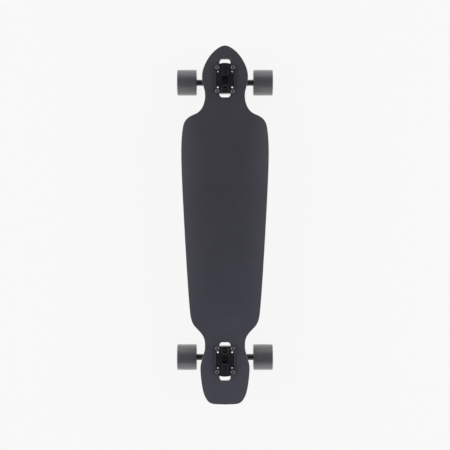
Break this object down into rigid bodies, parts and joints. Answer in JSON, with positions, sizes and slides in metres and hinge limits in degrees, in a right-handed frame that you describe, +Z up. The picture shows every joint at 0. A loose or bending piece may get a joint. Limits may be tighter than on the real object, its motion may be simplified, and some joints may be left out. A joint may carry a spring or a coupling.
{
  "type": "longboard skateboard",
  "caption": "Drop-through longboard with a cut-out pressed deck, grip top, reverse-kingpin trucks that lean to steer, and soft wheels on ball bearings.",
  "frame": {"origin": "on the ground, under the middle of the board", "axes": "+Z up, +Y towards the nose, +X to the rider's right when facing the nose"},
  "size_m": [0.2604, 0.965, 0.1027],
  "materials": {
    "maple": "clear lacquer on maple veneer, plies seen at the edge",
    "grip": "coarse abrasive grip tape, charcoal",
    "truck_paint": "satin black paint over cast aluminium",
    "black_steel": "black oxide steel",
    "zinc_steel": "zinc plated steel",
    "bright_steel": "ground bright steel",
    "shield_steel": "stamped steel shield",
    "wheel_urethane": "black polyurethane, fine satin skin",
    "core_plastic": "hard black moulded core",
    "cage_plastic": "moulded ball cage",
    "bushing_urethane": "black polyurethane bushing",
    "pivot_urethane": "black urethane pivot cup"
  },
  "bodies": {
    "board": {"deck": "maple", "grip_tape": "grip", "deck_bolts": "black_steel", "deck_nuts": "zinc_steel", "front_baseplate": "truck_paint", "front_pivot_cup": "pivot_urethane", "front_kingpin": "black_steel", "front_boardside_washer": "zinc_steel", "front_boardside_bushing": "bushing_urethane", "front_roadside_bushing": "bushing_urethane", "front_roadside_washer": "zinc_steel", "front_kingpin_nut": "zinc_steel", "rear_baseplate": "truck_paint", "rear_pivot_cup": "pivot_urethane", "rear_kingpin": "black_steel", "rear_boardside_washer": "zinc_steel", "rear_boardside_bushing": "bushing_urethane", "rear_roadside_bushing": "bushing_urethane", "rear_roadside_washer": "zinc_steel", "rear_kingpin_nut": "zinc_steel"},
    "front_hanger_set": {"front_hanger": "truck_paint", "front_axle": "bright_steel", "front_axle_nuts": "zinc_steel", "front_speed_washers": "zinc_steel", "front_left_bearing_inner_rings": "bright_steel", "front_left_bearing_spacer": "zinc_steel", "front_right_bearing_inner_rings": "bright_steel", "front_right_bearing_spacer": "zinc_steel"},
    "front_left_wheel": {"front_left_tyre": "wheel_urethane", "front_left_core": "core_plastic", "front_left_bearing_outer_rings": "bright_steel", "front_left_bearing_shields": "shield_steel"},
    "front_left_ball_set": {"front_left_bearing_balls": "bright_steel", "front_left_bearing_cages": "cage_plastic"},
    "front_right_wheel": {"front_right_tyre": "wheel_urethane", "front_right_core": "core_plastic", "front_right_bearing_outer_rings": "bright_steel", "front_right_bearing_shields": "shield_steel"},
    "front_right_ball_set": {"front_right_bearing_balls": "bright_steel", "front_right_bearing_cages": "cage_plastic"},
    "rear_hanger_set": {"rear_hanger": "truck_paint", "rear_axle": "bright_steel", "rear_axle_nuts": "zinc_steel", "rear_speed_washers": "zinc_steel", "rear_left_bearing_inner_rings": "bright_steel", "rear_left_bearing_spacer": "zinc_steel", "rear_right_bearing_inner_rings": "bright_steel", "rear_right_bearing_spacer": "zinc_steel"},
    "rear_left_wheel": {"rear_left_tyre": "wheel_urethane", "rear_left_core": "core_plastic", "rear_left_bearing_outer_rings": "bright_steel", "rear_left_bearing_shields": "shield_steel"},
    "rear_left_ball_set": {"rear_left_bearing_balls": "bright_steel", "rear_left_bearing_cages": "cage_plastic"},
    "rear_right_wheel": {"rear_right_tyre": "wheel_urethane", "rear_right_core": "core_plastic", "rear_right_bearing_outer_rings": "bright_steel", "rear_right_bearing_shields": "shield_steel"},
    "rear_right_ball_set": {"rear_right_bearing_balls": "bright_steel", "rear_right_bearing_cages": "cage_plastic"}
  },
  "joints": [
    {"name": "front_truck_lean", "type": "hinge", "parent": "board", "child": "front_hanger_set", "pos_m": [0, 0.40249, 0.04917], "axis": [0, 0.6428, 0.766], "range_deg": [-20, 20], "stiffness_Nm_per_rad": 60, "deforming": ["front_boardside_bushing", "front_roadside_bushing"]},
    {"name": "rear_truck_lean", "type": "hinge", "parent": "board", "child": "rear_hanger_set", "pos_m": [0, -0.37449, 0.04917], "axis": [0, -0.6428, 0.766], "range_deg": [-20, 20], "stiffness_Nm_per_rad": 60, "deforming": ["rear_boardside_bushing", "rear_roadside_bushing"]},
    {"name": "front_left_wheel_spin", "type": "hinge", "parent": "front_hanger_set", "child": "front_left_wheel", "pos_m": [-0.103, 0.3906, 0.035], "axis": [1, 0, 0], "continuous": true},
    {"name": "front_left_ball_roll", "type": "hinge", "parent": "front_hanger_set", "child": "front_left_ball_set", "pos_m": [-0.103, 0.3906, 0.035], "axis": [1, 0, 0], "continuous": true},
    {"name": "front_right_wheel_spin", "type": "hinge", "parent": "front_hanger_set", "child": "front_right_wheel", "pos_m": [0.103, 0.3906, 0.035], "axis": [1, 0, 0], "continuous": true},
    {"name": "front_right_ball_roll", "type": "hinge", "parent": "front_hanger_set", "child": "front_right_ball_set", "pos_m": [0.103, 0.3906, 0.035], "axis": [1, 0, 0], "continuous": true},
    {"name": "rear_left_wheel_spin", "type": "hinge", "parent": "rear_hanger_set", "child": "rear_left_wheel", "pos_m": [-0.103, -0.3626, 0.035], "axis": [1, 0, 0], "continuous": true},
    {"name": "rear_left_ball_roll", "type": "hinge", "parent": "rear_hanger_set", "child": "rear_left_ball_set", "pos_m": [-0.103, -0.3626, 0.035], "axis": [1, 0, 0], "continuous": true},
    {"name": "rear_right_wheel_spin", "type": "hinge", "parent": "rear_hanger_set", "child": "rear_right_wheel", "pos_m": [0.103, -0.3626, 0.035], "axis": [1, 0, 0], "continuous": true},
    {"name": "rear_right_ball_roll", "type": "hinge", "parent": "rear_hanger_set", "child": "rear_right_ball_set", "pos_m": [0.103, -0.3626, 0.035], "axis": [1, 0, 0], "continuous": true}
  ],
  "couplings": [
    {"joint": "front_left_ball_roll", "follows": "front_left_wheel_spin", "ratio": 0.63227},
    {"joint": "front_right_ball_roll", "follows": "front_right_wheel_spin", "ratio": 0.63227},
    {"joint": "rear_left_ball_roll", "follows": "rear_left_wheel_spin", "ratio": 0.63227},
    {"joint": "rear_right_ball_roll", "follows": "rear_right_wheel_spin", "ratio": 0.63227}
  ]
}
